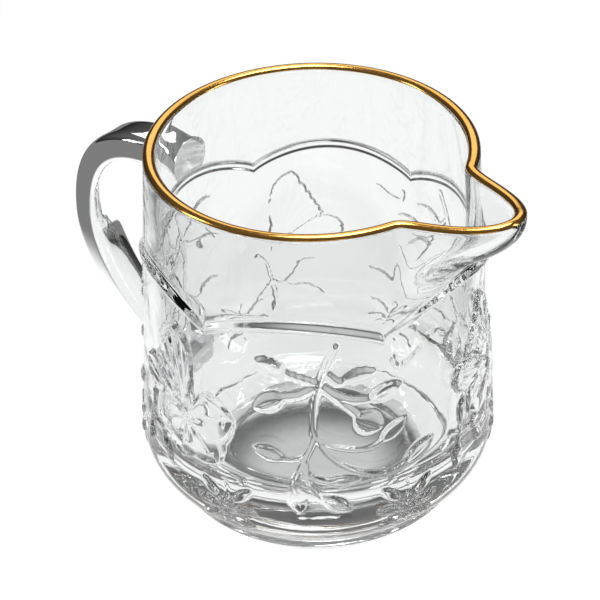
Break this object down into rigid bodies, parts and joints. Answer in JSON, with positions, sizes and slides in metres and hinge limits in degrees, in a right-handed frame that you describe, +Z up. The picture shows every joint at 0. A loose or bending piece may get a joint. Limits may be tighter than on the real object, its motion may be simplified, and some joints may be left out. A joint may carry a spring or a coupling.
{
  "type": "glass cream jug",
  "caption": "Small round pressed-glass pouring jug with an ear handle, a pulled lip, a gilded rim and a leaf and butterfly relief.",
  "frame": {"origin": "centre of the foot ring's underside, on the table", "axes": "+Z up along the jug's axis, +X towards the pouring lip, handle along -X, the jug is mirror-symmetric about XZ apart from the relief"},
  "size_m": [0.1264, 0.0838, 0.0898],
  "materials": {
    "clear_glass": "clear pressed soda-lime glass, fire-polished, relief on the outside",
    "gilding": "bright fired gold on the rounded rim"
  },
  "bodies": {
    "root": {"body": "clear_glass", "collar": "clear_glass", "foot_ring": "clear_glass", "handle": "clear_glass", "gilt_rim": "gilding", "arch_moulding": "clear_glass", "leaf_sprig_1": "clear_glass", "leaf_sprig_2": "clear_glass", "leaf_sprig_3": "clear_glass", "butterfly_1": "clear_glass", "butterfly_2": "clear_glass", "butterfly_3": "clear_glass", "blossom_1": "clear_glass", "blossom_2": "clear_glass", "bud_branch_1": "clear_glass", "bud_branch_2": "clear_glass", "forked_branch": "clear_glass", "corner_spray_1": "clear_glass", "corner_spray_2": "clear_glass", "corner_spray_3": "clear_glass", "corner_spray_4": "clear_glass", "corner_spray_5": "clear_glass", "corner_spray_6": "clear_glass"}
  },
  "joints": []
}
